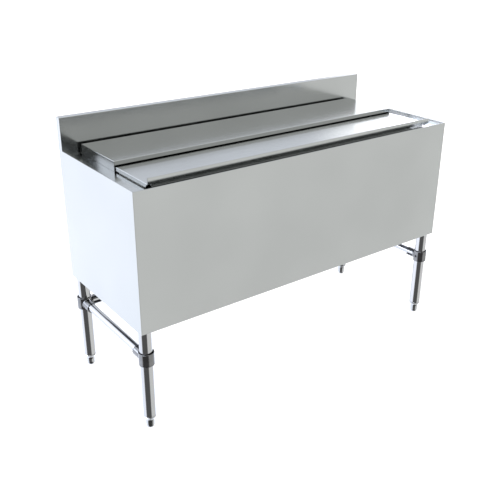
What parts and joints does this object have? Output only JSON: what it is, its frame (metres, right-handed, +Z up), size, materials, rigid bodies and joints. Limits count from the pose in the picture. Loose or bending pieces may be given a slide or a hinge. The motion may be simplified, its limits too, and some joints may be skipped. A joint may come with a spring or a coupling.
{
  "type": "underbar ice bin",
  "caption": "Insulated stainless underbar ice bin on tube legs, with a splash back, a sliding lid, a lift-off rear hood and a bottom drain.",
  "frame": {"origin": "on the floor, under the middle of the bin's width and depth", "axes": "+X to the bin's right as seen by the bartender, +Y back towards the splash back, +Z up"},
  "size_m": [1.219, 0.462, 0.854],
  "materials": {
    "stainless_sheet": "fine brushed stainless sheet, nearly mirror-like at a low angle",
    "stainless_tube": "polished stainless tube",
    "stainless_fitting": "turned and welded stainless fittings",
    "cast_clamp": "glossy dark plated zinc casting",
    "screw_steel": "dark steel set screws",
    "foam": "foamed-in polyurethane",
    "nylon": "natural white nylon",
    "rubber": "matte black rubber"
  },
  "bodies": {
    "cabinet": {"backsplash": "stainless_sheet", "bottom_channel_front": "stainless_sheet", "bottom_channel_rear": "stainless_sheet", "bottom_panel": "stainless_sheet", "clamp_cross_screw_rear_left": "screw_steel", "clamp_cross_screw_rear_right": "screw_steel", "clamp_leg_screw_front_left": "screw_steel", "clamp_leg_screw_front_right": "screw_steel", "clamp_leg_screw_rear_left": "screw_steel", "clamp_leg_screw_rear_right": "screw_steel", "clamp_side_screw_front_left": "screw_steel", "clamp_side_screw_front_right": "screw_steel", "clamp_side_screw_rear_left": "screw_steel", "clamp_side_screw_rear_right": "screw_steel", "drain_body": "stainless_fitting", "drain_gasket": "rubber", "drain_locknut": "stainless_fitting", "drain_strainer": "stainless_fitting", "drain_washer": "stainless_fitting", "foam_insulation": "foam", "foot_insert_front_left": "stainless_fitting", "foot_insert_front_right": "stainless_fitting", "foot_insert_rear_left": "stainless_fitting", "foot_insert_rear_right": "stainless_fitting", "front_panel": "stainless_sheet", "hood_locator_left": "stainless_sheet", "hood_locator_right": "stainless_sheet", "ice_liner": "stainless_sheet", "leg_clamp_front_left": "cast_clamp", "leg_clamp_front_right": "cast_clamp", "leg_clamp_rear_left": "cast_clamp", "leg_clamp_rear_right": "cast_clamp", "leg_socket_front_left": "stainless_fitting", "leg_socket_front_right": "stainless_fitting", "leg_socket_rear_left": "stainless_fitting", "leg_socket_rear_right": "stainless_fitting", "leg_tube_front_left": "stainless_tube", "leg_tube_front_right": "stainless_tube", "leg_tube_rear_left": "stainless_tube", "leg_tube_rear_right": "stainless_tube", "rear_panel": "stainless_sheet", "rear_rail": "stainless_tube", "side_panel_left": "stainless_sheet", "side_panel_right": "stainless_sheet", "side_rail_left": "stainless_tube", "side_rail_right": "stainless_tube", "socket_screw_front_left": "screw_steel", "socket_screw_front_right": "screw_steel", "socket_screw_rear_left": "screw_steel", "socket_screw_rear_right": "screw_steel", "top_deck": "stainless_sheet"},
    "lid": {"sliding_lid": "stainless_sheet", "lid_stiffener": "stainless_sheet", "lid_glide_left": "nylon", "lid_glide_right": "nylon"},
    "hood": {"rear_hood": "stainless_sheet"},
    "foot_front_left": {"foot_front_left": "stainless_fitting"},
    "foot_front_right": {"foot_front_right": "stainless_fitting"},
    "foot_rear_left": {"foot_rear_left": "stainless_fitting"},
    "foot_rear_right": {"foot_rear_right": "stainless_fitting"}
  },
  "joints": [
    {"name": "lid_slide", "type": "slide", "parent": "cabinet", "child": "lid", "axis": [0, 1, 0], "range_m": [0, 0.18]},
    {"name": "hood_lift", "type": "slide", "parent": "cabinet", "child": "hood", "axis": [0, 0, 1], "range_m": [0, 0.13]},
    {"name": "foot_adjust_front_left", "type": "slide", "parent": "cabinet", "child": "foot_front_left", "axis": [0, 0, 1], "range_m": [-0.0127, 0.001]},
    {"name": "foot_adjust_front_right", "type": "slide", "parent": "cabinet", "child": "foot_front_right", "axis": [0, 0, 1], "range_m": [-0.0127, 0.001]},
    {"name": "foot_adjust_rear_left", "type": "slide", "parent": "cabinet", "child": "foot_rear_left", "axis": [0, 0, 1], "range_m": [-0.0127, 0.001]},
    {"name": "foot_adjust_rear_right", "type": "slide", "parent": "cabinet", "child": "foot_rear_right", "axis": [0, 0, 1], "range_m": [-0.0127, 0.001]}
  ]
}
